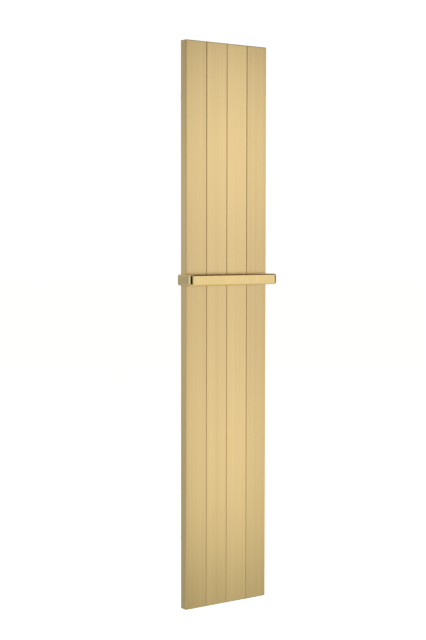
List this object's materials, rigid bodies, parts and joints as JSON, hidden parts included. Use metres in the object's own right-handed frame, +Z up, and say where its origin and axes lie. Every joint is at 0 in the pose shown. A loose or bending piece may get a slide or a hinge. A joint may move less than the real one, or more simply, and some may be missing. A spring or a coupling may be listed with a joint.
{
  "type": "towel warmer radiator",
  "caption": "Tall flat electric towel warmer: grooved brushed brass panel of upright sections, with a U-shaped polished towel bar wrapped round it, hung on wall brackets.",
  "frame": {"origin": "centre of the four slotted wall holes, on the wall plane, which is the middle of the panel's height", "axes": "+Y into the wall, so the panel's front faces -Y; +Z up; +X to the right seen from the front"},
  "size_m": [0.345, 0.1055, 1.8],
  "materials": {
    "panel_brass": "brushed brass anodised, grain upright",
    "cap_brass": "brushed brass anodised",
    "bar_brass": "polished and lacquered",
    "boss_brass": "satin",
    "element_sheath": "stainless, heat tinted",
    "galvanised": "galvanised, faint spangle",
    "bracket_paint": "white powder coat",
    "zinc": "bright zinc plated",
    "black_steel": "black oxide",
    "spring_steel": "plain",
    "tinned_pins": "tinned",
    "ceramic_white": "glazed ceramic",
    "insulation_wool": "faced mineral wool board",
    "wire_brown": "wire sleeve",
    "wire_blue": "wire sleeve",
    "wire_green": "wire sleeve",
    "wire_white": "wire sleeve",
    "cutout_black": "phenolic",
    "rubber_black": "moulded",
    "sleeve_nylon": "nylon",
    "housing_plastic": "fine moulded texture",
    "board_green": "solder mask",
    "terminal_grey": "moulded",
    "relay_black": "moulded",
    "capacitor_sleeve": "shrink sleeve",
    "antenna_tin": "tinned",
    "lens_clear": "frosted light pipe",
    "rocker_body": "moulded",
    "rocker_gloss": "moulded gloss",
    "button_grey": "moulded",
    "gland_plastic": "polyamide"
  },
  "bodies": {
    "wall_brackets": {"wall_bracket_lower_left": "bracket_paint", "wall_bracket_lower_right": "bracket_paint", "wall_bracket_upper_left": "bracket_paint", "wall_bracket_upper_right": "bracket_paint", "bracket_sleeves": "sleeve_nylon"},
    "panel": {"antenna_wire": "antenna_tin", "bar_boss_screws": "black_steel", "bar_bosses": "boss_brass", "bar_fixing_nuts": "zinc", "bar_grub_screws": "black_steel", "board_screws": "zinc", "bottom_end_cap": "cap_brass", "cable_gland": "gland_plastic", "cap_screws": "zinc", "capacitor": "capacitor_sleeve", "centre_tie_bar": "galvanised", "cover_screws": "zinc", "cutout_leads": "wire_white", "earth_lead": "wire_green", "earth_screw": "zinc", "element_straps": "spring_steel", "front_section_1": "panel_brass", "front_section_2": "panel_brass", "front_section_3": "panel_brass", "front_section_4": "panel_brass", "gland_dome_nut": "gland_plastic", "gland_lock_nut": "gland_plastic", "gland_seal": "rubber_black", "heating_element_1": "element_sheath", "heating_element_2": "element_sheath", "heating_element_3": "element_sheath", "heating_element_4": "element_sheath", "insulation_strips": "insulation_wool", "lead_grommet": "rubber_black", "live_harness": "wire_brown", "lower_hanger_rail": "galvanised", "neutral_harness": "wire_blue", "power_module": "relay_black", "push_switch": "relay_black", "rail_screws": "zinc", "rear_cover": "galvanised", "receiver_base": "housing_plastic", "receiver_board": "board_green", "receiver_housing": "housing_plastic", "receiver_screws": "zinc", "relay": "relay_black", "rocker_switch_body": "rocker_body", "status_lens": "lens_clear", "strap_screws": "zinc", "switch_leads": "wire_white", "terminal_block": "terminal_grey", "terminal_insulators": "ceramic_white", "terminal_pins": "tinned_pins", "thermal_cutout": "cutout_black", "top_end_cap": "cap_brass", "towel_bar": "bar_brass", "upper_hanger_rail": "galvanised"},
    "rocker": {"rocker_key": "rocker_gloss"},
    "button": {"pairing_button": "button_grey"}
  },
  "joints": [
    {"name": "panel_lift", "type": "slide", "parent": "wall_brackets", "child": "panel", "axis": [0, 0, 1], "range_m": [0, 0.014]},
    {"name": "power_rocker", "type": "hinge", "parent": "panel", "child": "rocker", "pos_m": [0.06, -0.019, -0.8708], "axis": [0, 1, 0], "range_deg": [0, 16]},
    {"name": "pairing_push", "type": "slide", "parent": "panel", "child": "button", "axis": [0, 0, 1], "range_m": [0, 0.001], "stiffness_N_per_m": 600, "springref_m": -0.001}
  ]
}
